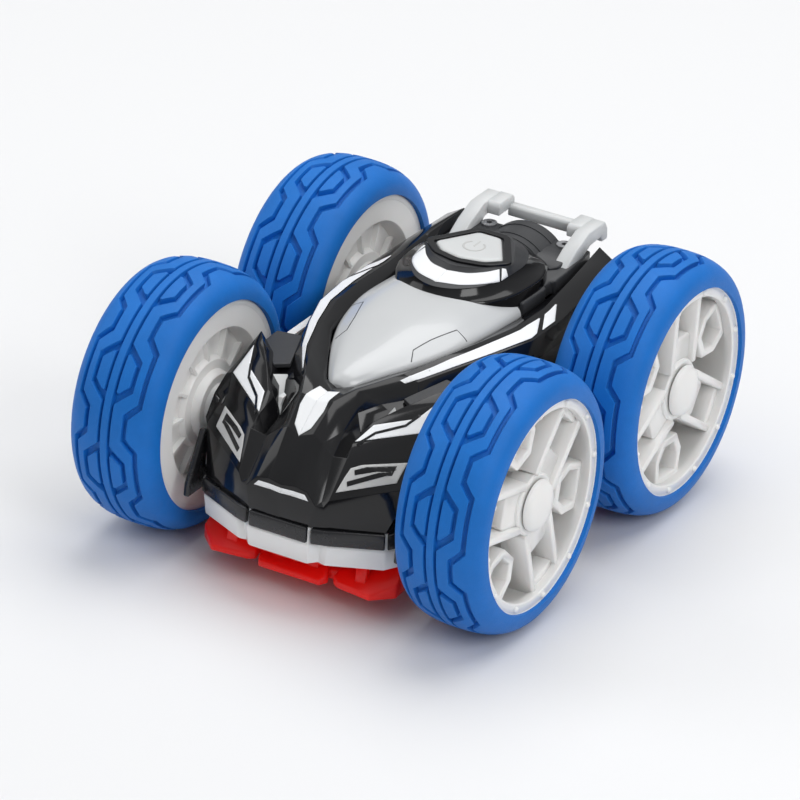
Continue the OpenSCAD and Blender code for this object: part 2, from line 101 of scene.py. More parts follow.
class Nodes:
    """Small helper that adds and links shader nodes."""

    def __init__(self, name):
        self.material = bpy.data.materials.new(name)
        self.material.use_nodes = True
        self.tree = self.material.node_tree
        self.shader = self.tree.nodes["Principled BSDF"]
        coords = self.add("ShaderNodeTexCoord")
        self.place = coords.outputs["Object"]

    def add(self, kind, **settings):
        node = self.tree.nodes.new(kind)
        for key, value in settings.items():
            setattr(node, key, value)
        return node

    def link(self, a, b):
        self.tree.links.new(a, b)

    def noise(self, scale, detail=3.0, rough=0.55):
        node = self.add("ShaderNodeTexNoise")
        node.inputs["Scale"].default_value = scale
        node.inputs["Detail"].default_value = detail
        node.inputs["Roughness"].default_value = rough
        self.link(self.place, node.inputs["Vector"])
        return node.outputs["Fac"]

    def ramp(self, fac, stops):
        node = self.add("ShaderNodeValToRGB")
        ramp = node.color_ramp
        while len(ramp.elements) < len(stops):
            ramp.elements.new(0.5)
        for element, (at, colour) in zip(ramp.elements, stops):
            element.position = at
            element.color = (*colour, 1.0)
        self.link(fac, node.inputs["Fac"])
        return node.outputs["Color"]

    def spread(self, fac, low, high):
        node = self.add("ShaderNodeMapRange")
        node.inputs["To Min"].default_value = low
        node.inputs["To Max"].default_value = high
        self.link(fac, node.inputs["Value"])
        return node.outputs["Result"]

    def bump(self, height, strength, distance):
        node = self.add("ShaderNodeBump")
        node.inputs["Strength"].default_value = strength
        node.inputs["Distance"].default_value = distance
        self.link(height, node.inputs["Height"])
        self.link(node.outputs["Normal"], self.shader.inputs["Normal"])

    def set(self, **values):
        for key, value in values.items():
            self.shader.inputs[key.replace("_", " ")].default_value = value


def tinted(colour, factor):
    return tuple(min(1.0, c * factor) for c in colour)


def plastic(name, colour, rough, vary=0.04, grain=0.0, coat=0.0, coat_rough=0.05, scatter=0.0, spec=0.5):
    """Moulded plastic: slight colour drift, uneven gloss and an optional fine spark-eroded grain."""
    m = Nodes(name)
    drift = m.noise(60.0, 2.0)
    tones = [(0.3, tinted(colour, 1 - vary)), (0.7, tinted(colour, 1 + vary))]
    m.link(m.ramp(drift, tones), m.shader.inputs["Base Color"])
    gloss = m.noise(420.0, 4.0, 0.6)
    m.link(m.spread(gloss, rough * 0.85, rough * 1.2), m.shader.inputs["Roughness"])
    m.set(Coat_Weight=coat, Coat_Roughness=coat_rough, Specular_IOR_Level=spec)
    if scatter:
        m.set(Subsurface_Weight=scatter, Subsurface_Radius=(1.0, 0.6, 0.5), Subsurface_Scale=0.0015)
    if grain:
        m.bump(m.noise(5200.0, 2.0, 0.7), grain, 0.00008)
    else:
        m.bump(m.noise(260.0, 2.0), 0.05, 0.00012)
    return m.material


def rubber(name, colour):
    """Matte tyre rubber: fine grain, a cloudy colour drift and faint scuffs."""
    m = Nodes(name)
    cloud = m.noise(110.0, 5.0, 0.65)
    m.link(
        m.ramp(cloud, [(0.25, tinted(colour, 0.9)), (0.55, colour), (0.8, tinted(colour, 1.12))]),
        m.shader.inputs["Base Color"],
    )
    m.link(m.spread(m.noise(900.0, 4.0, 0.7), 0.46, 0.66), m.shader.inputs["Roughness"])
    m.set(Specular_IOR_Level=0.3, Sheen_Weight=0.03, Sheen_Roughness=0.5)
    m.bump(m.noise(3800.0, 3.0, 0.7), 0.28, 0.00012)
    return m.material


def metal(name, colour, rough):
    m = Nodes(name)
    m.link(
        m.ramp(m.noise(900.0, 3.0), [(0.3, tinted(colour, 0.85)), (0.7, colour)]),
        m.shader.inputs["Base Color"]
    )
    m.link(m.spread(m.noise(1400.0, 4.0), rough * 0.8, rough * 1.3), m.shader.inputs["Roughness"])
    m.set(Metallic=1.0)
    m.bump(m.noise(2500.0, 2.0), 0.1, 0.00005)
    return m.material


MATERIALS = {
    "black_gloss": plastic("black_gloss", (0.005, 0.005, 0.006), 0.1, spec=0.42),
    "charcoal": plastic("charcoal", (0.034, 0.035, 0.038), 0.42, vary=0.08, grain=0.35, spec=0.45),
    "satin_black": plastic("satin_black", (0.014, 0.014, 0.016), 0.26, grain=0.2),
    "silver": plastic("silver", (0.55, 0.56, 0.565), 0.2, vary=0.02, coat=0.35, coat_rough=0.06),
    "light_grey": plastic("light_grey", (0.60, 0.61, 0.61), 0.34, vary=0.02, grain=0.12, scatter=0.05),
    "white": plastic("white", (0.88, 0.87, 0.855), 0.3, vary=0.015, grain=0.06, scatter=0.1),
    "white_belt": plastic("white_belt", (0.80, 0.80, 0.80), 0.25, vary=0.015, scatter=0.08),
    "red": plastic("red", (0.90, 0.012, 0.008), 0.3, vary=0.04, spec=0.35),
    "print_white": plastic("print_white", (0.84, 0.85, 0.86), 0.42, vary=0.02, spec=0.3),
    "print_grey": plastic("print_grey", (0.54, 0.54, 0.53), 0.42, vary=0.02, spec=0.3),
    "tyre_blue": rubber("tyre_blue", (0.003, 0.15, 0.54)),
    "nylon": plastic("nylon", (0.72, 0.70, 0.64), 0.4, scatter=0.15),
    "board": plastic("board", (0.012, 0.14, 0.05), 0.35),
    "foil": metal("foil", (0.62, 0.63, 0.66), 0.3),
    "steel": metal("steel", (0.55, 0.55, 0.57), 0.28),
    "brass": metal("brass", (0.72, 0.52, 0.22), 0.25),
    "lead_black": plastic("lead_black", (0.01, 0.01, 0.01), 0.45),
    "lead_red": plastic("lead_red", (0.5, 0.01, 0.01), 0.45),
}

SLOT_LOOKS = {
    "black_shell": "black_gloss", "silver_canopy": "silver", "dark_deck": "charcoal",
    "grey_parts": "light_grey",
    "black_belt": "satin_black", "white_frame": "white_belt", "red_shell": "red", "tyre_blue": "tyre_blue",
    "white_rim": "white", "steel": "steel", "inner_plastic": "white_belt", "nylon": "nylon",
    "brass": "brass",
    "board": "board", "battery_wrap": "foil", "wire_black": "lead_black", "wire_red": "lead_red",
}


def dress_cad_nodes():
    """Gives every carried-over CAD node the procedural look of its slot."""
    for entry in frame["record"]["subparts"]:
        looks = MATERIALS[SLOT_LOOKS[entry["material_slot"]]]
        piece = frame["nodes"][entry["node"]]
        piece.data.materials.clear()
        piece.data.materials.append(looks)


# ---------------------------------------------------------------- mesh helpers

def from_shape(name, shape, looks, sharp=32.0, matrix=None):
    """Turns a bmesh into an object with one material, moved or mirrored by the matrix."""
    bmesh.ops.recalc_face_normals(shape, faces=shape.faces)
    if matrix is not None:
        shape.transform(matrix)
        if matrix.determinant() < 0:
            bmesh.ops.reverse_faces(shape, faces=shape.faces)
    mesh = bpy.data.meshes.new(name)
    shape.to_mesh(mesh)
    shape.free()
    mesh.materials.append(MATERIALS[looks])
    piece = linked(name, mesh)
    smooth(piece, sharp)
    return piece


def wear(piece, node, body=CHASSIS):
    """Lets a piece stand in for a CAD node."""
    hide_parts(node)
    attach(piece, body)


def new_piece(name, verts, faces, looks, sharp=32.0, matrix=None):
    """Makes an object from points in millimetres."""
    mesh = bpy.data.meshes.new(name)
    mesh.from_pydata([tuple(c * MM for c in v) for v in verts], [], [tuple(f) for f in faces])
    mesh.validate()
    shape = bmesh.new()
    shape.from_mesh(mesh)
    bpy.data.meshes.remove(mesh)
    bmesh.ops.remove_doubles(shape, verts=shape.verts, dist=1e-6)
    return from_shape(name, shape, looks, sharp, matrix)


def smooth(piece, sharp=32.0):
    piece.data.polygons.foreach_set("use_smooth", [True] * len(piece.data.polygons))
    piece.data.set_sharp_from_angle(angle=radians(sharp))


def apply_modifiers(piece):
    """Turns the piece's modifiers into plain mesh."""
    graph = bpy.context.evaluated_depsgraph_get()
    mesh = bpy.data.meshes.new_from_object(piece.evaluated_get(graph))
    piece.modifiers.clear()
    old = piece.data
    piece.data = mesh
    bpy.data.meshes.remove(old)


def bevel(piece, width, segments=2, angle=28.0):
    change = piece.modifiers.new("edge", "BEVEL")
    change.width = width * MM
    change.segments = segments
    change.limit_method = "ANGLE"
    change.angle_limit = radians(angle)
    change.harden_normals = True
    apply_modifiers(piece)
    return piece


def thicken(piece, thickness):
    change = piece.modifiers.new("wall", "SOLIDIFY")
    change.thickness = thickness * MM
    change.offset = -1.0
    change.use_even_offset = True
    apply_modifiers(piece)


def join(pieces, name):
    """Joins pieces into the first one."""
    first = pieces[0]
    shape = bmesh.new()
    looks = []
    for piece in pieces:
        start = len(shape.faces)
        shape.from_mesh(piece.data)
        shape.faces.ensure_lookup_table()
        material = piece.data.materials[0]
        if material not in looks:
            looks.append(material)
        for face in shape.faces[start:]:
            face.material_index = looks.index(material)
    mesh = bpy.data.meshes.new(name)
    shape.to_mesh(mesh)
    shape.free()
    for material in looks:
        mesh.materials.append(material)
    for piece in pieces:
        old = piece.data
        bpy.data.objects.remove(piece)
        bpy.data.meshes.remove(old)
    return linked(name, mesh)


def lathe(name, profile, looks, steps=96, sharp=32.0, matrix=None):
    """Turns a profile of (radius, x) points about the X axis."""
    verts = []
    faces = []
    count = len(profile)
    for k in range(steps):
        angle = 2 * pi * k / steps
        verts += [(x, r * cos(angle), r * sin(angle)) for r, x in profile]
    for k in range(steps):
        here, there = k * count, (k + 1) % steps * count
        for i in range(count):
            j = (i + 1) % count
            faces.append((here + i, here + j, there + j, there + i))
    return new_piece(name, verts, faces, looks, sharp, matrix)


def prism(name, outline, low, high, looks, axis="z", holes=(), matrix=None):
    """Extrudes an outline with optional holes: axis z takes (x, y) points, axis x takes (y, z) points."""
    def lift(p, h):
        return (p[0], p[1], h) if axis == "z" else (h, p[0], p[1])
    shape = bmesh.new()
    edges = []
    for loop in (outline, *holes):
        ring = [shape.verts.new(Vector(lift(p, low)) * MM) for p in loop]
        edges += [shape.edges.new((ring[i], ring[(i + 1) % len(ring)])) for i in range(len(ring))]
    if holes:
        bmesh.ops.triangle_fill(shape, use_beauty=True, use_dissolve=True, edges=edges)
    else:
        shape.faces.new(ring)
    bottom = list(shape.faces)
    grown = bmesh.ops.extrude_face_region(shape, geom=bottom)
    top = [g for g in grown["geom"] if isinstance(g, bmesh.types.BMVert)]
    rise = (high - low) * MM
    bmesh.ops.translate(shape, verts=top, vec=(0, 0, rise) if axis == "z" else (rise, 0, 0))
    return from_shape(name, shape, looks, matrix=matrix)


def rectangle(x0, y0, x1, y1):
    return [(x0, y0), (x1, y0), (x1, y1), (x0, y1)]


def turn_x(angle):
    return Matrix.Rotation(radians(angle), 4, "X")


MIRROR = Matrix.Scale(-1, 4, (1, 0, 0))
SWAP_XY = Matrix(((0, 1, 0, 0), (1, 0, 0, 0), (0, 0, 1, 0), (0, 0, 0, 1)))


def mirrored_outline(half):
    """Outline in (x, y): the given right half, then its mirror image."""
    return list(half) + [(-x, y) for x, y in reversed(half) if abs(x) > 1e-6]


def flip(p):
    return (-p[0], *p[1:])


def skin(name, points, faces, looks, sharp=32.0):
    """Builds a skin that mirrors itself: named points with x >= 0 and faces that list names."""
    verts = []
    index = {}
    for side in (1, -1):
        for key, p in points.items():
            if side == -1 and abs(p[0]) < 1e-6:
                index[side, key] = index[1, key]
                continue
            index[side, key] = len(verts)
            verts.append(p if side == 1 else flip(p))
    polys = []
    for face in faces:
        polys.append([index[1, key] for key in face])
        polys.append([index[-1, key] for key in reversed(face)])
    return new_piece(name, verts, polys, looks, sharp)


def loft(name, rings, looks, caps=True, sharp=32.0):
    """Joins closed rings of points, one after the other, and caps the ends."""
    count = len(rings[0])
    verts = [p for ring in rings for p in ring]
    faces = []
    for i in range(len(rings) - 1):
        for j in range(count):
            a, b = i * count + j, i * count + (j + 1) % count
            faces.append((a, b, b + count, a + count))
    if caps:
        faces.append(tuple(range(count)))
        faces.append(tuple(range((len(rings) - 1) * count, len(rings) * count)))
    return new_piece(name, verts, faces, looks, sharp)


def surface_of(*pieces):
    """A search tree over pieces, for laying thin prints on them."""
    verts = []
    faces = []
    for piece in pieces:
        start = len(verts)
        verts += [v.co.copy() for v in piece.data.vertices]
        faces += [[start + i for i in p.vertices] for p in piece.data.polygons]
    return BVHTree.FromPolygons(verts, faces)


# Thickness of a printed patch. The heights in print outlines only have to be above the surface.
FILM = 0.04


def lay_print(name, outline, tree, looks, aim=(0, 0, -1), lift=0.05, fine=0.8, both=True, body=CHASSIS):
    """Lays a thin printed patch on a surface: the outline in mm is dropped along aim onto the tree."""
    shape = bmesh.new()
    shape.faces.new([shape.verts.new(Vector(p) * MM) for p in outline])
    bmesh.ops.triangulate(shape, faces=shape.faces)
    for _ in range(8):
        long_edges = [e for e in shape.edges if e.calc_length() > fine * MM]
        if not long_edges:
            break
        bmesh.ops.subdivide_edges(shape, edges=long_edges, cuts=1)
        bmesh.ops.triangulate(shape, faces=[f for f in shape.faces if len(f.verts) > 3])
    aim = Vector(aim).normalized()
    for vert in shape.verts:
        hit = tree.ray_cast(vert.co - aim * 0.03, aim)
        if hit[0] is None:
            hit = tree.find_nearest(vert.co)
        normal = hit[1] if hit[1].dot(aim) < 0 else -hit[1]
        vert.co = hit[0] + normal * lift * MM
    bmesh.ops.recalc_face_normals(shape, faces=shape.faces)
    if sum((f.normal.dot(aim) for f in shape.faces)) > 0:
        bmesh.ops.reverse_faces(shape, faces=shape.faces)
    for side in (1, -1) if both else (1,):
        copy = shape.copy()
        if side == -1:
            copy.transform(MIRROR)
            bmesh.ops.reverse_faces(copy, faces=copy.faces)
        mesh = bpy.data.meshes.new(name)
        copy.to_mesh(mesh)
        copy.free()
        mesh.materials.append(MATERIALS[looks])
        piece = linked(f"{name}_{'left' if side == 1 else 'right'}" if both else name, mesh)
        smooth(piece, 60)
        change = piece.modifiers.new("film", "SOLIDIFY")
        change.thickness = FILM * MM
        change.offset = 1.0
        apply_modifiers(piece)
        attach(piece, body)
    shape.free()


# ---------------------------------------------------------------- wheels

def crown(u):
    """Radius of the tyre at u, from -1 at the inner bead to 1 at the outer one."""
    power = 2.6
    return RIM_R + (TYRE_R - RIM_R) * max(0.0, 1 - abs(u) ** power) ** (1 / power)


def crown_table():
    """Points along the crown as (arc length from the middle, x, radius)."""
    steps = 400
    shares = [sin(k * pi / steps / 2) for k in range(steps + 1)]
    points = [(TYRE_MID + TYRE_HALF * u, crown(u)) for u in shares]
    table = [(0.0, *points[0])]
    for a, b in zip(points, points[1:]):
        table.append((table[-1][0] + hypot(b[0] - a[0], b[1] - a[1]), *b))
    return table


CROWN = crown_table()
CROWN_ARC = CROWN[-1][0]


def crown_point(s, depth):
    """Point and inward step on the crown at arc length s from the middle, sunk by depth."""
    want = min(abs(s), CROWN_ARC)
    low, high = 0, len(CROWN) - 1
    while high - low > 1:
        mid = (low + high) // 2
        if CROWN[mid][0] <= want:
            low = mid
        else:
            high = mid
    a, b = CROWN[low], CROWN[high]
    t = (want - a[0]) / max(b[0] - a[0], 1e-9)
    x, r = a[1] + t * (b[1] - a[1]), a[2] + t * (b[2] - a[2])
    dx, dr = b[1] - a[1], b[2] - a[2]
    length = hypot(dx, dr)
    x -= depth * -dr / length
    r -= depth * dx / length
    return (2 * TYRE_MID - x, r) if s < 0 else (x, r)


# Tread of one repeat, from the middle of a hexagon (0 degrees) to half a repeat.
# Each line is a list of (degrees, arc length from the middle of the tyre).
TREAD_REPEATS = 8
HALF_REPEAT = 180 / TREAD_REPEATS
RIB = 0.72
SLOT = 1.32
BLOCK_LINE = [(0, 3.55), (4.6, 3.55), (9.4, SLOT), (HALF_REPEAT, SLOT)]
NEST_LINE = [(0, 4.45), (6.7, 4.45), (13.2, SLOT), (HALF_REPEAT, SLOT)]
ZIGZAG_IN = [(0, 5.85), (11.0, 5.85), (16.4, 3.55), (HALF_REPEAT, 3.55)]
ZIGZAG_OUT = [(0, 6.75), (12.6, 6.75), (18.2, 4.5), (HALF_REPEAT, 4.5)]
GROOVE_DEPTH = 1.1
EDGE_DROP = 0.08


def along(line, angle):
    for (a0, s0), (a1, s1) in zip(line, line[1:]):
        if angle <= a1:
            return s0 + (s1 - s0) * (angle - a0) / (a1 - a0)
    return line[-1][1]


def tread_rows(angle):
    """Half cross-section at an angle from a hexagon's middle: (arc length, depth) from middle to bead."""
    block, nest = along(BLOCK_LINE, angle), along(NEST_LINE, angle)
    inner, outer = along(ZIGZAG_IN, angle), along(ZIGZAG_OUT, angle)
    deep, lip, toe = GROOVE_DEPTH, 0.1, 0.12
    rows = [(0.0, 0.0), (RIB - lip, 0.0), (RIB, EDGE_DROP), (RIB + toe, deep)]

    def wall(s, width, step):
        """Groove wall at a block edge with its rounded lip: up to the block (1) or down from it (-1)."""
        top, edge = (0.0, EDGE_DROP) if width > 0.2 else (deep, deep)
        points = [(s - step * min(toe, width / 4), deep), (s, edge), (s + step * min(lip, width / 4), top)]
        return points[::step]

    block_width = block - SLOT
    rows += wall(SLOT, block_width, 1)
    rows.append((SLOT + block_width / 2, 0.0 if block_width > 0.2 else deep))
    rows += wall(block, block_width, -1)
    rows += wall(max(nest, SLOT + 1e-3), 1.0, 1)
    rows.append(((nest + inner) / 2, 0.0))
    rows += wall(inner, 1.0, -1)
    rows += wall(outer, 1.0, 1)
    shoulder_steps = 9
    for k in range(1, shoulder_steps + 1):
        rows.append((outer + toe + (CROWN_ARC - outer - toe) * k / shoulder_steps, 0.0))
    return rows


def tread_angles():
    """Angles of one half repeat, with a column on every corner of the pattern."""
    corners = sorted({a for line in (BLOCK_LINE, NEST_LINE, ZIGZAG_IN, ZIGZAG_OUT) for a, _ in line})
    angles = []
    for a, b in zip(corners, corners[1:]):
        parts = max(1, round((b - a) / 1.3))
        angles += [a + (b - a) * k / parts for k in range(parts)]
    return angles + [HALF_REPEAT]


def make_tyre(end, side, turn):
    half = tread_angles()
    columns = []
    for repeat in range(TREAD_REPEATS):
        base = 2 * HALF_REPEAT * repeat
        columns += [(base + a, a) for a in half[:-1]]
        columns += [(base + 2 * HALF_REPEAT - a, a) for a in reversed(half[1:])]
    verts = []
    for place, angle in columns:
        rows = tread_rows(angle)
        ring = [crown_point(-s, d) for s, d in reversed(rows)] + [crown_point(s, d) for s, d in rows[1:]]
        ring += [(TYRE_OUT - 0.25, RIM_R - 0.06), (TYRE_IN + 0.25, RIM_R - 0.06)]
        c, sn = cos(radians(place + turn)), sin(radians(place + turn))
        verts += [(x, r * c, r * sn) for x, r in ring]
    count = len(ring)
    faces = []
    for k in range(len(columns)):
        here, there = k * count, (k + 1) % len(columns) * count
        for i in range(count):
            j = (i + 1) % count
            faces.append((here + i, here + j, there + j, there + i))
    tyre = new_piece(f"tread_{end}_{side}", verts, faces, "tyre_blue", 38.0, wheel_matrix(end, side))
    wear_wheel(tyre, "tyre", end, side)


def wheel_matrix(end, side):
    """Place of a wheel: the left wheels are built at their own x, the right ones are mirrored."""
    y = -WHEEL_Y if end == "front" else WHEEL_Y
    place = Matrix.Translation(Vector((0, y, AXLE_Z)) * MM)
    return MIRROR @ place if side == "right" else place


def seat(piece, end, side):
    piece.data.transform(wheel_matrix(end, side))
    if side == "right":
        piece.data.flip_normals()
    smooth(piece, 35)


def wear_wheel(piece, node, end, side):
    wear(piece, f"{node}_{end}_{side}", f"wheel_{end}_{side}")


SPOKE_DEPTH = 6.5
NUBS = 12


def spoke_parts(turn):
    """Three double-bar spokes, three bracket rings and the nubs on the lip."""
    back = RIM_OUT - SPOKE_DEPTH
    parts = []
    for k in range(3):
        at = turn_x(turn + 120 * k)
        for side in (-1, 1):
            bar = rectangle(4.3, side * 4.15 - 0.7, 19.1, side * 4.15 + 0.7)
            parts.append(prism("bar", bar, back, SPOKE_FACE, "white", "x", matrix=at))
        web = [(3.0, -3.5), (9.6, -3.5), (10.4, -2.7), (10.4, 2.7), (9.6, 3.5), (3.0, 3.5)]
        parts.append(prism("web", web, back + 1.2, SPOKE_FACE - 1.0, "white", "x", matrix=at))
        sill = rectangle(16.9, -3.6, 19.1, 3.6)
        parts.append(prism("sill", sill, back + 0.6, SPOKE_FACE - 0.9, "white", "x", matrix=at))
        ring = [(9.8, -2.5), (9.8, 2.5), (13.6, 4.9), (19.1, 4.4), (19.1, -4.4), (13.6, -4.9)]
        gap = [(11.4, -1.7), (11.4, 1.7), (14.1, 3.4), (17.5, 3.0), (17.5, -3.0), (14.1, -3.4)]
        between = at @ turn_x(60)
        parts.append(prism("bracket", ring, back + 1, SPOKE_FACE - 1.2, "white", "x", (gap,), between))
    for part in parts:
        bevel(part, 0.28, 2)
    nub_turn = turn - 10
    for k in range(NUBS):
        profile = [
            (0.0, RIM_OUT - 0.9), (0.62, RIM_OUT - 0.9), (0.62, RIM_OUT + 0.2), (0.5, RIM_OUT + 0.42),
            (0.25, RIM_OUT + 0.52), (0.0, RIM_OUT + 0.55)
        ]
        at = turn_x(nub_turn + 360 / NUBS * k) @ Matrix.Translation((0, (RIM_R - 0.95) * MM, 0))
        parts.append(lathe("nub", profile, "white", 12, matrix=at))
    return parts


def make_rim(end, side, turn):
    lip = [
        (RIM_R - 0.02, RIM_IN + 0.15), (RIM_R - 0.02, TYRE_OUT - 0.6), (RIM_R - 0.12, RIM_OUT - 0.12),
        (RIM_R - 0.3, RIM_OUT),
        (RIM_R - 1.75, RIM_OUT), (RIM_R - 1.95, RIM_OUT - 0.15), (RIM_R - 2.0, RIM_OUT - 1.5),
        (RIM_R - 1.35, RIM_OUT - 2.3),
        (RIM_R - 1.25, RIM_IN + 0.2), (RIM_R - 1.1, RIM_IN), (RIM_R - 0.2, RIM_IN),
    ]
    hub = [
        (1.7, TYRE_IN - 1.1), (3.9, TYRE_IN - 1.1), (4.3, TYRE_IN - 0.7), (4.4, RIM_OUT - 6),
        (5.9, RIM_OUT - 5.4),
        (5.9, SPOKE_FACE - 0.6), (5.6, SPOKE_FACE - 0.3), (2.95, SPOKE_FACE - 0.3),
        (2.95, SPOKE_FACE - 3.4), (1.7, SPOKE_FACE - 3.4),
    ]
    parts = [lathe("lip", lip, "white", 128), lathe("hub", hub, "white", 48)] + spoke_parts(turn)
    rim = join(parts, f"wheel_rim_{end}_{side}")
    seat(rim, end, side)
    wear_wheel(rim, "rim", end, side)


def make_inner_disc(end, side):
    x = RIM_IN
    profile = [
        (4.45, x - 0.2), (5.9, x - 0.2), (6.2, x + 0.1), (6.5, x + 1.3), (8.2, x + 1.5), (8.5, x + 1.8),
        (8.8, x + 2.6),
        (13.0, x + 3.3), (13.7, x + 3.0), (14.4, x + 0.4), (14.8, x), (RIM_R - 1.15, x),
        (RIM_R - 1.15, x + 1.2),
        (15.4, x + 1.4), (14.4, x + 4.6), (4.45, x + 4),
    ]
    parts = [lathe("disc", profile, "white", 96)]
    blade = [(8.4, x + 1.6), (13.9, x + 2.2), (13.9, x + 4.2), (8.4, x + 3.4)]
    for k in range(12):
        rib = prism("rib", blade, -0.3, 0.3, "white")
        rib.data.transform(SWAP_XY)
        rib.data.flip_normals()
        rib.data.transform(turn_x(30 * k))
        parts.append(rib)
    disc = join(parts, f"wheel_disc_{end}_{side}")
    seat(disc, end, side)
    wear_wheel(disc, "inner_disc", end, side)


def make_cap(end, side):
    f = SPOKE_FACE
    profile = [
        (0.0, f - 0.55), (2.75, f - 0.55), (2.75, f + 0.02), (4.8, f + 0.02), (4.85, f + 0.2),
        (4.75, f + 0.65), (4.45, f + 1.05),
        (3.9, f + 1.38), (2.9, f + 1.62), (1.5, f + 1.76), (0.0, f + 1.8),
    ]
    cap = lathe(f"wheel_cap_{end}_{side}", profile, "white", 64, 50, matrix=wheel_matrix(end, side))
    wear_wheel(cap, "hub_cap", end, side)


# Turn of each wheel's tread and spokes, in degrees from +Y towards +Z.
TREAD_TURN = {
    ("front", "left"): 31.5, ("rear", "left"): 40.0, ("front", "right"): 13.0, ("rear", "right"): 11.5
}
SPOKE_TURN = {"front": 47.0, "rear": 86.0}

for wheel_end in ENDS:
    for wheel_side in SIDES:
        make_tyre(wheel_end, wheel_side, TREAD_TURN[wheel_end, wheel_side])
        make_rim(wheel_end, wheel_side, SPOKE_TURN[wheel_end])
        make_inner_disc(wheel_end, wheel_side)
        make_cap(wheel_end, wheel_side)


# ---------------------------------------------------------------- upper shell

def mix(a, b, t):
    return tuple(p + (q - p) * t for p, q in zip(a, b))


WALL_X = 21.2
BELT_TOP = 18.35
HOOD = {
    # foot of the shell on the belt
    "n0": (0, -46.6, BELT_TOP), "n1": (6.2, -46.6, BELT_TOP), "n2": (9.2, -45.4, BELT_TOP),
    "n3": (18.8, -41, BELT_TOP), "n4": (WALL_X, -36.6, BELT_TOP), "n5": (WALL_X, 40, BELT_TOP),
    "n6": (16, 44, BELT_TOP), "n7": (0, 44, BELT_TOP),
    # front lip with its two notches, then the lower edge of the wing
    "l0": (0, -46.3, 24.9), "l1": (2.8, -45.9, 25.2), "l2": (5.3, -45.9, 24.8), "l3": (7.2, -46.2, 22.7),
    "l4": (8.6, -45.7, 22.7), "l5": (9.4, -45.2, 24), "l6": (21.6, -36.9, 26.6),
    # ridge that rises from the lip and becomes the inner edge of the rail
    "r1": (2.7, -40.1, 33.2), "r2": (3.3, -34.6, 37.5), "r3": (5.4, -30, 38.6), "r4": (9.8, -21, 39.3),
    "r5": (12.7, -12, 39.8), "r6": (15, -3.7, 39.8), "r7": (16.6, 7.3, 38.9), "r8": (16.6, 18, 38.5),
    "r9": (15.8, 30, 39.6),
    "ra": (14.6, 42.2, 40.7),
    # middle valley and the opening for the canopy and deck
    "c1": (0, -40.5, 32.3), "c2": (0, -34.6, 36.8), "c3": (0, -30.9, 37),
    "o0": (0, -27.9, 36.5), "o1": (2.9, -26.8, 37.1), "o2": (6.3, -20.6, 37.8), "o3": (10.9, -11.6, 38),
    "o4": (13.8, 2.4, 38), "o5": (13.9, 14, 37.2), "o6": (13.9, 30, 37.2), "o7": (13.2, 42.6, 37.2),
    "d0": (0, -27.8, 34.6), "d1": (2.8, -26.6, 34.8), "d2": (6.2, -20.4, 35), "d3": (10.8, -11.4, 35),
    "d4": (13.7, 2.5, 35), "d5": (13.8, 14, 35), "d6": (13.8, 30, 35), "d7": (13.1, 42.5, 35),
    # outer edge of the rail top
    "t3": (7.2, -28.4, 37), "t4": (12.4, -20.2, 38), "t5": (16, -11.8, 38.5), "t6": (18.7, -3.7, 38.5),
    "t7": (20.6, 7.1, 37.5), "t8": (20.5, 18, 37.2), "t9": (19.6, 30, 37.8), "ta": (18.2, 42, 38.6),
    # outer side of the ridge down to the trench beside the wing
    "g1": (4.7, -40, 31.9), "f0": (7.8, -44.9, 23.2), "f1": (7, -40.1, 30), "f2": (6.4, -35.5, 33),
    "f3": (6.6, -31.4, 34.8), "f4": (9.2, -27.4, 35.6), "f5": (13.4, -21.6, 35.8),
    "b1": (8.2, -38.6, 29), "b2": (8.7, -33.2, 30.1), "b3": (11.8, -27.4, 34.2), "b4": (15.6, -22.6, 35.2),
    # wing: inner edge, crease and outer edge up to the tip
    "w1": (10.1, -40.5, 30.7), "w2": (9.8, -38.3, 32.7), "w3": (11, -33.4, 35.3), "w6": (9.7, -33.3, 34.1),
    "w4": (14.2, -28.8, 37.1), "w5": (18, -24.1, 39), "x2": (20.4, -31.9, 31.4), "x3": (20.7, -30.2, 34.5),
    "x4": (19.7, -24.8, 38), "e1": (22.4, -36, 27.5), "e2": (22.5, -33.1, 31), "e3": (22, -30, 33.8),
    "e4": (21.4, -26.9, 35.4), "e5": (20, -21.4, 39.5),
    # rail foot, shelf and side wall
    "q2": (16.8, -12, 35.5), "q3": (19.4, -3.7, 35.2), "q4": (20.9, 7, 34.8), "q5": (20.9, 18, 34.6),
    "q6": (20.4, 30, 34.6),
    "q7": (19.2, 42, 34.8),
    "s0": (WALL_X, -36.4, 26), "s1": (WALL_X, -33.5, 30), "s2": (WALL_X, -29, 32.4),
    "s3": (WALL_X, -21, 33.4),
    "s4": (WALL_X, -12, 33.4), "s5": (WALL_X, -3.7, 33.4), "s6": (WALL_X, 7, 33.4),
    "s7": (WALL_X, 18, 33.4),
    "s8": (WALL_X, 30, 33.4), "s9": (WALL_X, 40, 33.4),
    # tail
    "z0": (0, 43.9, 36.3), "z2": (13.2, 43.7, 36.3), "z3": (0, 42.7, 36.9), "z4": (0, 42.6, 35),
}
HUB_NOTCH = [(-4.6, BELT_TOP), (-4.6, 25), (-3.3, 28.3), (0, 29.6), (3.3, 28.3), (4.6, 25), (4.6, BELT_TOP)]
for row, offset in enumerate((-WHEEL_Y, WHEEL_Y)):
    for step, (dy, z) in enumerate(HUB_NOTCH):
        HOOD[f"h{row}{step}"] = (WALL_X, offset + dy, z)

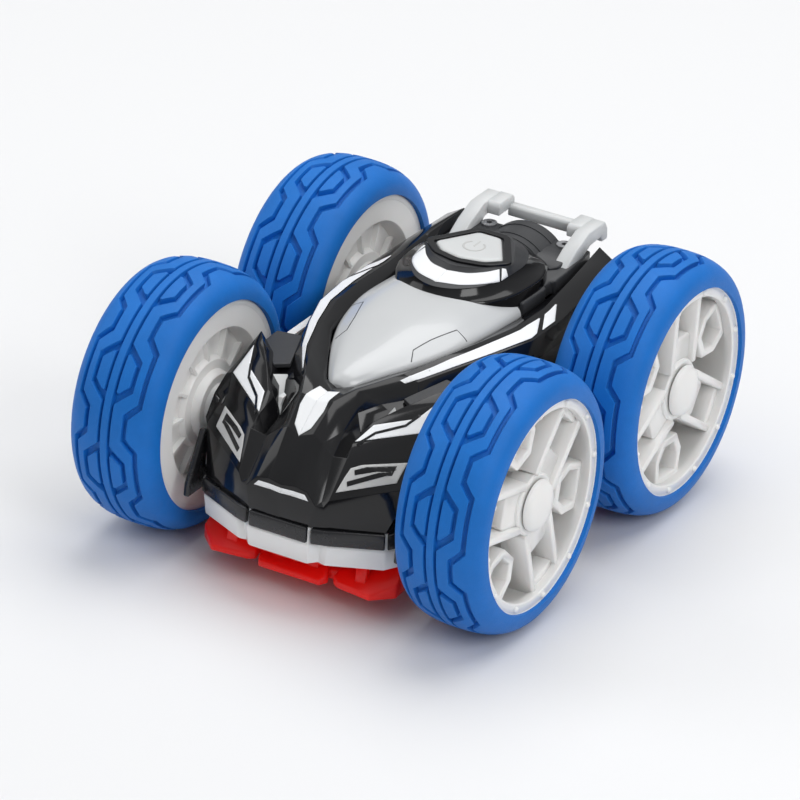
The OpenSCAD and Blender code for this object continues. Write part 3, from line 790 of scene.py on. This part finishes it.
HOOD_FACES = """
n0 n1 l3 l2 | n0 l2 l1 | n0 l1 l0 | n1 n2 l4 l3 | n2 l5 l4 | n2 n3 l6 l5 | n3 n4 s0 l6
l0 l1 r1 c1 | c1 r1 r2 c2 | c2 r2 r3 o1 c3 | c3 o1 o0
r3 r4 o2 o1 | r4 r5 o3 o2 | r5 r6 o4 o3 | r6 r7 o5 o4 | r7 r8 o5 | r8 r9 o6 o5 | r9 ra o7 o6
o0 o1 d1 d0 | o1 o2 d2 d1 | o2 o3 d3 d2 | o3 o4 d4 d3 | o4 o5 d5 d4 | o5 o6 d6 d5 | o6 o7 d7 d6
o7 z3 z4 d7
l1 l2 g1 r1 | l2 l3 f0 f1 g1 | g1 f1 f2 | r1 g1 f2 r2 | r2 f2 f3 r3 | r3 f3 f4 t3
r3 t3 t4 r4 | r4 t4 t5 r5 | r5 t5 t6 r6 | r6 t6 t7 r7 | r7 t7 t8 r8 | r8 t8 t9 r9 | r9 t9 ta ra
t3 f4 f5 t4 | t4 f5 q2 t5 | t5 q2 q3 t6 | t6 q3 q4 t7 | t7 q4 q5 t8 | t8 q5 q6 t9 | t9 q6 q7 ta
l3 l4 f0 | l4 l5 w1 f1 f0 | f1 f2 b1 | f2 f3 b2 b1 | f3 f4 b3 b2 | f4 f5 b4 b3
f1 b1 w2 w1 | b1 b2 w6 w2 | w2 w6 w3 | w6 w4 w3 | b2 b3 w4 w6 | b3 b4 w5 w4
l5 l6 x2 w1 | w1 x2 x3 w2 | w2 x3 w3 | w3 x3 x4 w4 | w4 x4 w5 | w5 x4 e5 | l6 e1 e2 x2 | x2 e2 e3 x3
x3 e3 e4 x4 | x4 e4 e5
l6 s0 e1 | e1 s0 s1 e2 | e2 s1 s2 e3 | e3 s2 e4 | e4 s2 s3 e5 | w5 e5 s3 b4
f5 b4 s3 s4 q2 | q2 s4 s5 q3 | q3 s5 s6 q4 | q4 s6 s7 q5 | q5 s7 s8 q6 | q6 s8 s9 q7
n4 h00 h01 h02 h03 h04 h05 h06 h10 h11 h12 h13 h14 h15 h16 n5 s9 s8 s7 s6 s5 s4 s3 s2 s1 s0
n5 n6 q7 s9 | n6 z2 q7 | n6 n7 z0 z2 | q7 z2 o7 ra ta | z2 z0 z3 o7
"""


def make_hood():
    faces = [face.split() for line in HOOD_FACES.strip().splitlines() for face in line.split("|")]
    hood = skin("hood_panels", HOOD, faces, "black_gloss", 20)
    thicken(hood, 0.8)
    bevel(hood, 0.32, 3, 14)
    smooth(hood, 40)
    wear(hood, "hood_shell")
    return surface_of(hood)


hood_skin = make_hood()


def rail_band(name, ys, inner, outer):
    """Printed band on the rail top at distances along the car: shares of the way from ridge to edge."""
    spots = [rail_at(y) for y in ys]
    near = [mix(r, t, inner[i]) for i, (r, t) in enumerate(spots)]
    far = [mix(r, t, outer[i]) for i, (r, t) in enumerate(spots)]
    lay_print(name, near + far[::-1], hood_skin, "print_white", lift=0.15, fine=0.4)


def rail_at(y):
    """Ridge and outer edge of the rail top at a distance along the car."""
    ridge = [HOOD[k] for k in ("r3", "r4", "r5", "r6", "r7", "r8", "r9", "ra")]
    edge = [HOOD[k] for k in ("t3", "t4", "t5", "t6", "t7", "t8", "t9", "ta")]
    for r0, r1, t0, t1 in zip(ridge, ridge[1:], edge, edge[1:]):
        if y <= r1[1] or r1 is ridge[-1]:
            t = (y - r0[1]) / (r1[1] - r0[1])
            return mix(r0, r1, t), mix(t0, t1, t)


def ribbon(points, width):
    """Outline of a line of constant width through points, measured in plan."""
    left, right = [], []
    for i, p in enumerate(points):
        a, b = points[max(i - 1, 0)], points[min(i + 1, len(points) - 1)]
        dx, dy = b[0] - a[0], b[1] - a[1]
        size = hypot(dx, dy) or 1.0
        left.append((p[0] - dy / size * width / 2, p[1] + dx / size * width / 2, p[2]))
        right.append((p[0] + dy / size * width / 2, p[1] - dx / size * width / 2, p[2]))
    return left + right[::-1]


def make_prints():
    """Stickers on the hood, wings and rails."""
    chevron = [(0, -40.6, 38), (1.7, -39.3, 38), (2.5, -36.3, 38), (2.1, -30.3, 38), (0, -31.1, 38)]
    lay_print("print_chevron", chevron, hood_skin, "print_white", lift=0.07, fine=0.5)
    lip = [(0, -50, 24.3), (4.8, -50, 24.2), (5.7, -50, 23.2), (0, -50, 23.3)]
    lay_print("print_lip", lip, hood_skin, "print_white", (0, 1, 0))
    low = [(10, -44, 27), (18.9, -37.9, 29), (19.1, -34.6, 31), (11.1, -40.9, 30), (10.6, -42.1, 29)]
    lay_print("print_wing_low", low, hood_skin, "print_grey", lift=0.06, fine=0.5)
    bracket = [(11.9, -40.9, 30), (17.9, -36.3, 30), (17.6, -37.5, 30), (11.3, -42.4, 27)]
    lay_print("print_wing_low_line", ribbon(bracket, 0.45), hood_skin, "black_gloss", lift=0.11, fine=0.4)
    high = [
        (10, -37.9, 38), (20.3, -30.3, 38), (19.4, -24.8, 38), (18, -28.2, 38), (17, -29.6, 38),
        (11.4, -33.9, 38)
    ]
    lay_print("print_wing_high", high, hood_skin, "print_white", lift=0.07, fine=0.5)
    line = [(10.6, -38.1, 38), (12.4, -34.9, 38), (16.4, -31.2, 38), (17.7, -28.4, 38)]
    lay_print("print_wing_high_line", ribbon(line, 0.45), hood_skin, "black_gloss", lift=0.12, fine=0.4)
    ys = (-27.5, -24.5, -20.6, -12, -3.7, 3, 7.3, 9.5, 14)
    inner = (0.5, 0.42, 0.36, 0.32, 0.3, 0.28, 0.25, 0.25, 0.3)
    outer = (0.62, 0.74, 0.82, 0.86, 0.88, 0.88, 0.88, 0.84, 0.34)
    rail_band("print_rail", ys, inner, outer)
    rail_band("print_rail_end", (11.5, 16, 20.5), (0.84, 0.3, 0.28), (0.87, 0.86, 0.34))


make_prints()


def make_fender_panels():
    """Light inner panels in the trenches between rail and wing, crossed by a black bar."""
    low = [(8.5, -33, 30.7), (11.2, -26.2, 35.3), (13.2, -28.9, 35.9)]
    high = [
        (11.9, -24.4, 36.4), (15.2, -15, 37.3), (20.9, -14.4, 36.4), (21, -19.6, 36.1), (17.4, -22.6, 36.3),
        (14.6, -26, 36.2)
    ]
    for side, sign in (("left", 1), ("right", -1)):
        for label, outline, looks in (("low", low, "light_grey"), ("high", high, "charcoal")):
            verts = [(sign * x, y, z - drop) for drop in (0, 0.9) for x, y, z in outline]
            n = len(outline)
            faces = [tuple(range(n)), tuple(range(2 * n - 1, n - 1, -1))]
            faces += [(i, (i + 1) % n, (i + 1) % n + n, i + n) for i in range(n)]
            panel = new_piece(f"fender_panel_{label}_{side}", verts, faces, looks)
            bevel(panel, 0.2, 2)
            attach(panel, CHASSIS)


make_fender_panels()


# ---------------------------------------------------------------- canopy

# Half profile from edge to crown as (share of half width, share of height).
CANOPY_SIDE = [
    (1.0, -0.25), (1.0, 0.02), (0.985, 0.2), (0.93, 0.36), (0.84, 0.5), (0.74, 0.68), (0.58, 0.85),
    (0.36, 0.955), (0.16, 0.99), (0, 1)
]
# Stations as (y, half width, edge height, crown height).
CANOPY_LINE = [
    (-27.5, 1.3, 36.4, 36.9), (-27.1, 2.1, 36.6, 37.7), (-26, 3, 36.8, 38.5), (-24, 4.2, 37.1, 39.2),
    (-20.6, 6.1, 37.4, 39.9),
    (-16, 8.5, 37.7, 40.5), (-11.5, 10.4, 37.9, 41.1), (-7.5, 11.7, 38, 41.6), (-2.5, 12.8, 38.1, 42),
    (2.4, 13.5, 38.1, 42.3),
    (8, 13.6, 37.6, 42.4), (15.2, 13.4, 36.9, 42.2),
]


def make_canopy():
    rings = []
    for y, w, edge, crown_z in CANOPY_LINE:
        half = [(w * a, y, edge + (crown_z - edge) * b) for a, b in CANOPY_SIDE]
        rings.append([flip(p) for p in half[:-1]] + half[::-1])
    canopy = loft("canopy_glass", rings, "silver", sharp=50)
    change = canopy.modifiers.new("flow", "SUBSURF")
    change.levels = 2
    change.render_levels = 2
    crease = canopy.data.attributes.new("crease_edge", "FLOAT", "EDGE")
    ends = {0, len(rings) - 1}
    count = len(rings[0])
    for edge in canopy.data.edges:
        a, b = edge.vertices
        if (a // count == b // count and a // count in ends) or {a % count, b % count} == {0, count - 1}:
            crease.data[edge.index].value = 1.0
    apply_modifiers(canopy)
    smooth(canopy, 50)
    tree = surface_of(canopy)
    line = [(8, -15.4, 44), (7, -13.1, 44), (8, -8.7, 44), (9.9, -2.5, 44), (12.3, -2.9, 44)]
    lay_print("canopy_line", ribbon(line, 0.16), tree, "charcoal", lift=0.0, fine=0.5)
    wear(canopy, "canopy")


make_canopy()


# ---------------------------------------------------------------- rear deck, dome and button

def spline(p0, p1, p2, p3, t):
    """Point at share t between p1 and p2 on a smooth curve through all four."""
    return tuple(
        0.5 * (2 * b + (c - a) * t + (2 * a - 5 * b + 4 * c - d) * t * t + (3 * b - a - 3 * c + d) * t ** 3)
        for a, b, c, d in zip(p0, p1, p2, p3))


def curve_ring(half, z, parts=10):
    """Closed smooth ring from the right half of a plan outline that starts and ends on the middle line."""
    loop = [*half, *[(-x, y) for x, y in reversed(half[1:-1])]]
    n = len(loop)
    ring = []
    for i in range(n):
        near = [loop[(i + k) % n] for k in (-1, 0, 1, 2)]
        ring += [(*spline(*near, k / parts), z) for k in range(parts)]
    return ring


def flow(points, parts=6):
    """Smooth open line through points."""
    ends = [points[0], *points, points[-1]]
    line = []
    for near in zip(ends, ends[1:], ends[2:], ends[3:]):
        line += [spline(*near, k / parts) for k in range(parts)]
    return [*line, points[-1]]


DOME_FOOT = [(0, 3.6), (5, 4.6), (9.4, 8.2), (12, 13.2), (12.9, 18.4), (12.6, 25), (9.4, 30), (0, 33.4)]
DOME_EDGE = [
    (0, 3.9), (4.9, 4.9), (9.1, 8.5), (11.6, 13.4), (12.5, 18.4), (12.1, 24.6), (9, 29.6), (0, 32.8)
]
DOME_TOP = [(0, 5.2), (4.2, 6.6), (7.4, 10), (9, 14), (9.7, 18.4), (9.4, 23.6), (6.6, 28.4), (0, 31.4)]
DOME_CAP = [(0, 12.2), (4, 13.4), (6.8, 15.6), (8.4, 17.4), (9, 18.9), (7.6, 22), (4.6, 27), (0, 29.2)]
BUTTON = [(2.4, 26.4), (7.2, 18.5), (4.6, 16), (0, 14.9)]
BUTTON_TOP = 45.5


def button_loop(grow):
    """Outline round the button, grown sideways by the given distance."""
    pts = mirrored_outline(BUTTON[::-1])
    n = len(pts)
    grown = []
    for i in range(n):
        a, b, c = pts[i - 1], pts[i], pts[(i + 1) % n]
        n1 = Vector((b[1] - a[1], a[0] - b[0])).normalized()
        n2 = Vector((c[1] - b[1], b[0] - c[0])).normalized()
        out = (n1 + n2).normalized()
        size = grow / max(out.dot(n1), 0.4)
        grown.append((b[0] + out.x * size, b[1] + out.y * size))
    return grown


def rounded(loop, radius, parts=4):
    """Loop with every corner cut by a small arc."""
    smooth_loop = []
    n = len(loop)
    for i in range(n):
        a, b, c = Vector(loop[i - 1]), Vector(loop[i]), Vector(loop[(i + 1) % n])
        start = b + (a - b).normalized() * radius
        end = b + (c - b).normalized() * radius
        for k in range(parts + 1):
            t = k / parts
            smooth_loop.append(tuple(start * (1 - t) ** 2 + b * 2 * t * (1 - t) + end * t * t))
    return smooth_loop


COVER_R = 8.6
COVER_Z = 33.4


def half_round(radius, y):
    """Arch of the engine cover at a distance along the car."""
    return [(radius * cos(pi * k / 24), y, COVER_Z + radius * sin(pi * k / 24)) for k in range(25)]


def make_deck():
    half = [(13.3, 15.8), (13.6, 24), (12.9, 24.4), (12.9, 27), (13.6, 27.4), (13.5, 32), (12.7, 42.4)]
    base = prism("deck_base", mirrored_outline(half), 36.4, 39.3, "charcoal")
    bevel(base, 0.4, 3)
    ledge = [(10.2, 30.5), (11.6, 32), (11.6, 40.6), (9.4, 41.8)]
    steps = prism("deck_step", mirrored_outline(ledge), 39, 39.9, "charcoal")
    bevel(steps, 0.3, 2)
    levels = ((DOME_TOP, 43.2), (DOME_TOP, 43.5), (DOME_CAP, 44.85), (DOME_CAP, 44.95))
    top = loft("dome_top", [curve_ring(*level) for level in levels], "charcoal", sharp=40)
    levels = (
        (DOME_FOOT, 38.5), (DOME_FOOT, 41.1), (DOME_FOOT, 41.35), (DOME_EDGE, 41.7), (DOME_TOP, 43.45),
        (DOME_TOP, 43.5))
    ring = loft("dome_ring", [curve_ring(*level) for level in levels], "black_gloss", sharp=28)
    arches = [half_round(COVER_R, y) for y in (30, 31.8, 41.4, 42.4)]
    cover = loft("engine_cover", arches, "charcoal", sharp=40)
    bevel(cover, 0.5, 4, 40)
    for y in (33.6, 35.4, 39.6):
        rib = loft("rib", [half_round(COVER_R + 0.15, at) for at in (y, y + 0.7)], "charcoal", sharp=40)
        cover = join([cover, rib], "engine_cover")
    deck = join([base, steps, top, ring, cover], "deck_and_dome")
    smooth(deck, 40)
    wear(deck, "rear_deck")
    dome_tree = surface_of(deck)
    arc_out = [(9.2, 13.9, 46), (7.6, 10.9, 46), (4.4, 7.9, 46), (0, 6.4, 46)]
    arc_in = [(0, 10.4, 46), (3.6, 11.4, 46), (6.2, 13.6, 46), (7.9, 16, 46)]
    lay_print("print_dome", flow(arc_out) + flow(arc_in), dome_tree, "print_white", fine=0.5)
    arc_end = [(9.3, 14.4, 46), (9.5, 16.4, 46), (8.7, 17, 46), (8.1, 16.5, 46)]
    lay_print("print_dome_end", arc_end, dome_tree, "print_white", fine=0.5)


make_deck()


def make_button():
    bezel_out, bezel_in = rounded(button_loop(1.6), 1.2), rounded(button_loop(0.32), 0.8)
    bezel = prism("button_frame", bezel_out, 44.85, 45.42, "black_gloss", holes=(bezel_in,))
    bevel(bezel, 0.12, 2)
    wear(bezel, "button_bezel")
    rings = [[(*p, z) for p in rounded(button_loop(grow), 0.8)] for grow, z in (
        (0.7, 42), (0.7, 43), (0, 43.05), (0, 44.9), (-0.12, 45.25), (-0.4, 45.42), (-0.9, BUTTON_TOP))]
    cap = loft("power_button_cap", rings, "light_grey", sharp=50)
    wear(cap, "power_button", "power_button")
    tree = surface_of(cap)
    centre_y, radius, line = 20.3, 2.0, 0.34
    turns = [radians(a) for a in range(35, 326, 15)]
    arc = [(radius * sin(a), centre_y + radius * cos(a), 46) for a in turns]
    stroke = [(0, 20.2, 46), (0, 22.6, 46)]
    for name, shape in (("symbol_ring", arc), ("symbol_stroke", stroke)):
        mark = ribbon(shape, line)
        lay_print(name, mark, tree, "print_grey", lift=0.0, fine=0.5, both=False, body="power_button")


make_button()


# ---------------------------------------------------------------- hoop

HOOP_SIDE = [
    (30.8, 37.6), (31.8, 38.6), (36.4, 41.4), (41.2, 43.3), (47.6, 43.3), (48.6, 41.6), (48.6, 39.4),
    (46.6, 39.4), (46, 40.6),
    (42, 40.4), (38, 38.6), (35.6, 37.6),
]


HOOP_BLOCK = [(42.4, 40.8), (42.4, 42.6), (43.1, 43.3), (47.8, 43.3), (48.4, 42.6), (48.4, 40.8)]
HOOP_BAR = [(46.4, 39.4), (46.4, 41.2), (46.9, 41.7), (48.2, 41.7), (48.6, 41.2), (48.6, 39.4)]


def make_hoop():
    parts = []
    for sign in (1, -1):
        low, high = sorted((sign * 9.8, sign * 12.8))
        arm = prism("arm", HOOP_SIDE, low, high, "light_grey", "x")
        bevel(arm, 0.35, 3)
        low, high = sorted((sign * 7.2, sign * 10.2))
        block = prism("block", HOOP_BLOCK, low, high, "light_grey", "x")
        bevel(block, 0.3, 3)
        parts += [arm, block]
    bar = prism("bar", HOOP_BAR, -7.6, 7.6, "light_grey", "x")
    bevel(bar, 0.25, 3)
    hoop = join(parts + [bar], "tail_hoop")
    smooth(hoop, 40)
    wear(hoop, "roll_bar")


make_hoop()


# ---------------------------------------------------------------- belt, frame and lower shell

PLAN_HALF = [(6.2, -46.6), (7.6, -45), (9.2, -45.4), (18.8, -41), (WALL_X, -36.6), (WALL_X, 40), (16, 44)]


def plan_ring(z, grow=0.0):
    loop = mirrored_outline(PLAN_HALF)
    return [(x + (grow if x > 0 else -grow), y + (grow if y > 0 else -grow), z) for x, y in loop]


BELT = (15.2, 18.25)      # lower and upper edge of the black blocks


def make_bumper():
    block = rectangle(-6.0, -47.2, 6.0, -45.6)
    strut = rectangle(20.8, -38, 21.9, -36.6)
    parts = [bevel(prism("block", block, *BELT, "satin_black"), 0.3, 3)]
    for matrix in (None, MIRROR):
        side = [(6.7, -46.9), (9.4, -46.1), (19.1, -41.5), (18.4, -40.3), (9.0, -44.7), (6.7, -45.2)]
        parts.append(bevel(prism("side", side, *BELT, "satin_black", matrix=matrix), 0.3, 3))
        flank = [
            (19.5, -41.2), (21.7, -36.8), (21.7, 40.1), (16.2, 44.4), (0, 44.4), (0, 43.2), (15.6, 43.2),
            (20.6, 39.4), (20.6, -36.4), (18.8, -40.2)
        ]
        parts.append(bevel(prism("flank", flank, *BELT, "satin_black", matrix=matrix), 0.25, 2))
        fin = [(-42.6, 14), (-42.4, 16.4), (-37.5, 25.7), (-36.5, 25.5), (-36.2, 23.6), (-37.4, 14)]
        parts.append(bevel(prism("fin", fin, 21.5, 22.7, "satin_black", "x", matrix=matrix), 0.3, 3))
        parts.append(prism("strut", strut, 15.4, 18.2, "satin_black", matrix=matrix))
    belt = join(parts, "belt_blocks")
    smooth(belt, 40)
    wear(belt, "front_bumper")


def make_frame():
    """Closed band, from rings listed as (z, grow) round its section."""
    section = [
        (10.6, -0.5), (11.0, 0.0), (14.7, 0.25), (15.15, 0.0), (18.2, -0.15), (18.3, -1.0), (15.0, -1.3),
        (10.6, -1.3),
        (10.6, -0.5)]
    rings = [plan_ring(z, grow) for z, grow in section]
    frame_band = loft("white_belt_band", rings, "white_belt", caps=False, sharp=25)
    bevel(frame_band, 0.2, 2, 25)
    smooth(frame_band, 40)
    wear(frame_band, "mid_frame")


BELLY_Z = 4.6


def make_lower_shell():
    belly = [(6.6, -39.4), (9, -38.6), (16, -37), (17.2, -32), (17.2, 35), (13.6, 38.4)]
    upper = loft(
        "upper", [plan_ring(6.6, -6), plan_ring(7.2, -5.6), plan_ring(10.3, -0.9)], "red", sharp=30
    )
    bevel(upper, 0.25, 2, 20)
    keel = prism("keel", mirrored_outline(belly), BELLY_Z, BELLY_Z + 2.2, "red")
    bevel(keel, 0.6, 3)
    middle = [(-6.4, -42.6), (6.4, -42.6), (7.3, -41), (6.2, -38.4), (-6.2, -38.4), (-7.3, -41)]
    side = [
        (8.1, -40.6), (9.4, -41.5), (16.6, -42.4), (20.3, -38.8), (20, -34.4), (17, -33.6), (8.6, -38.2)
    ]
    parts = [upper, keel]
    for outline in (middle, side, [flip(p) for p in side]):
        plate = prism("plate", outline, BELLY_Z, BELLY_Z + 1.2, "red")
        for vert in plate.data.vertices:
            if vert.co.z > 5.2 * MM:
                vert.co.z += max(0.0, vert.co.y + 41.5 * MM) * 0.6
        bevel(plate, 0.35, 3)
        parts.append(plate)
    for x in (-13.5, -3.6, 3.6, 13.5):
        stem = [(-40.6, 5.2), (-39.2, 5.2), (-38.2, 9.8), (-39.8, 9.8)]
        parts.append(bevel(prism("stem", stem, x - 1.1, x + 1.1, "red", "x"), 0.2, 2))
    shell = join(parts, "red_lower_shell")
    smooth(shell, 40)
    wear(shell, "bottom_shell")


make_bumper()
make_frame()
make_lower_shell()


# ---------------------------------------------------------------- studio

def area_light(name, at, size, power):
    """Soft rectangle of light aimed at the car."""
    data = bpy.data.lights.new(name, "AREA")
    data.shape = "RECTANGLE"
    data.size, data.size_y = size
    data.energy = power
    light = linked(name, data)
    light.location = at
    light.rotation_euler = (Vector((0, 0, 0.02)) - Vector(at)).to_track_quat("-Z", "Y").to_euler()


def make_studio():
    world = bpy.data.worlds.new("studio")
    bpy.context.scene.world = world
    world.use_nodes = True
    tree = world.node_tree
    background = tree.nodes["Background"]
    coords = tree.nodes.new("ShaderNodeTexCoord")
    split = tree.nodes.new("ShaderNodeSeparateXYZ")
    ramp = tree.nodes.new("ShaderNodeValToRGB")
    stops = [(0.0, 0.10), (0.12, 0.22), (0.4, 0.7), (1.0, 1.0)]
    while len(ramp.color_ramp.elements) < len(stops):
        ramp.color_ramp.elements.new(0.5)
    for element, (at, level) in zip(ramp.color_ramp.elements, stops):
        element.position = at
        element.color = (level * 0.97, level * 0.985, level, 1.0)
    tree.links.new(coords.outputs["Generated"], split.inputs["Vector"])
    tree.links.new(split.outputs["Z"], ramp.inputs["Fac"])
    tree.links.new(ramp.outputs["Color"], background.inputs["Color"])
    background.inputs["Strength"].default_value = 0.64
    area_light("overhead", (0.05, 0.25, 0.75), (0.9, 0.6), 4.0)
    area_light("left_box", (-0.65, -0.25, 0.5), (0.5, 0.7), 1.5)
    area_light("right_box", (0.7, -0.35, 0.6), (0.4, 0.4), 2.4)
    m = Nodes("paper")
    m.set(Base_Color=(0.80, 0.80, 0.805, 1.0), Roughness=0.7, Specular_IOR_Level=0.2)
    mesh = bpy.data.meshes.new("floor")
    reach = 4.0
    corners = [(-reach, -reach, 0), (reach, -reach, 0), (reach, reach, 0), (-reach, reach, 0)]
    mesh.from_pydata(corners, [], [(0, 1, 2, 3)])
    mesh.materials.append(m.material)
    linked("floor", mesh)
    bpy.context.scene.view_settings.view_transform = "Standard"


dress_cad_nodes()
place_camera()
make_studio()
